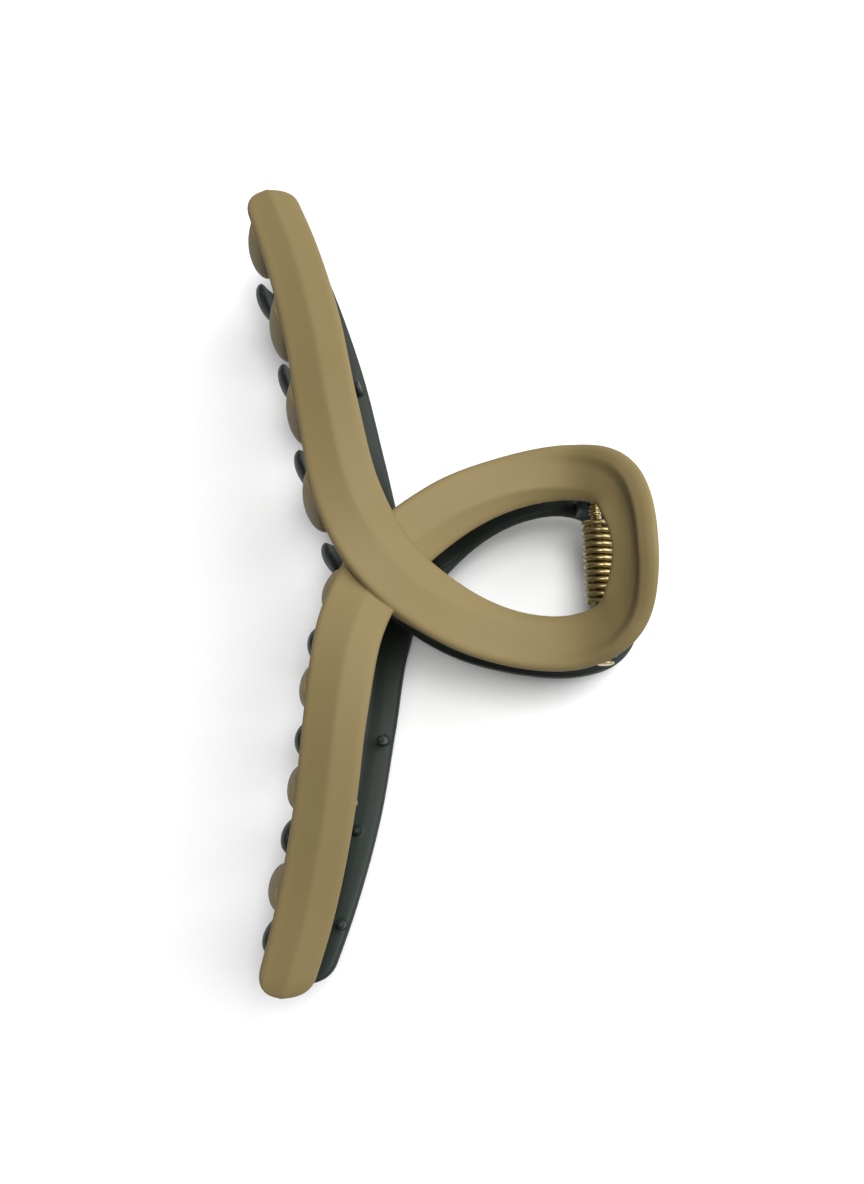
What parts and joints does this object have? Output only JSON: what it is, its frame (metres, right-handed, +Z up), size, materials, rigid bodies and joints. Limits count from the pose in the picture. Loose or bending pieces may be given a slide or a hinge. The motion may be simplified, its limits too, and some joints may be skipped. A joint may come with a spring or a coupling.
{
  "type": "claw clip",
  "caption": "Spring claw hair clip of two interlocking ribbon-shaped jaws that cross over into a finger loop, hinged on a pin inside the loop.",
  "frame": {"origin": "on the surface that the clip lies on, under the middle of its length and width", "axes": "+X from the teeth to the finger loop, +Y along the hinge pin, +Z up, with the khaki half on top"},
  "size_m": [0.0662, 0.1362, 0.0397],
  "materials": {
    "khaki_plastic": "soft-touch matte khaki",
    "green_plastic": "soft-touch matte dark grey-green",
    "pin_metal": "pale gold plating",
    "spring_metal": "pale gold plated spring steel"
  },
  "bodies": {
    "lower_jaw": {"lower_jaw": "green_plastic", "torsion_spring": "spring_metal"},
    "upper_jaw": {"upper_jaw": "khaki_plastic", "hinge_pin": "pin_metal"}
  },
  "joints": [
    {"name": "hinge", "type": "hinge", "parent": "lower_jaw", "child": "upper_jaw", "pos_m": [0.02496, 0, 0.01985], "axis": [0, 1, 0], "range_deg": [0, 60], "stiffness_Nm_per_rad": 0.12, "springref_deg": -34.38, "deforming": ["torsion_spring"]}
  ]
}
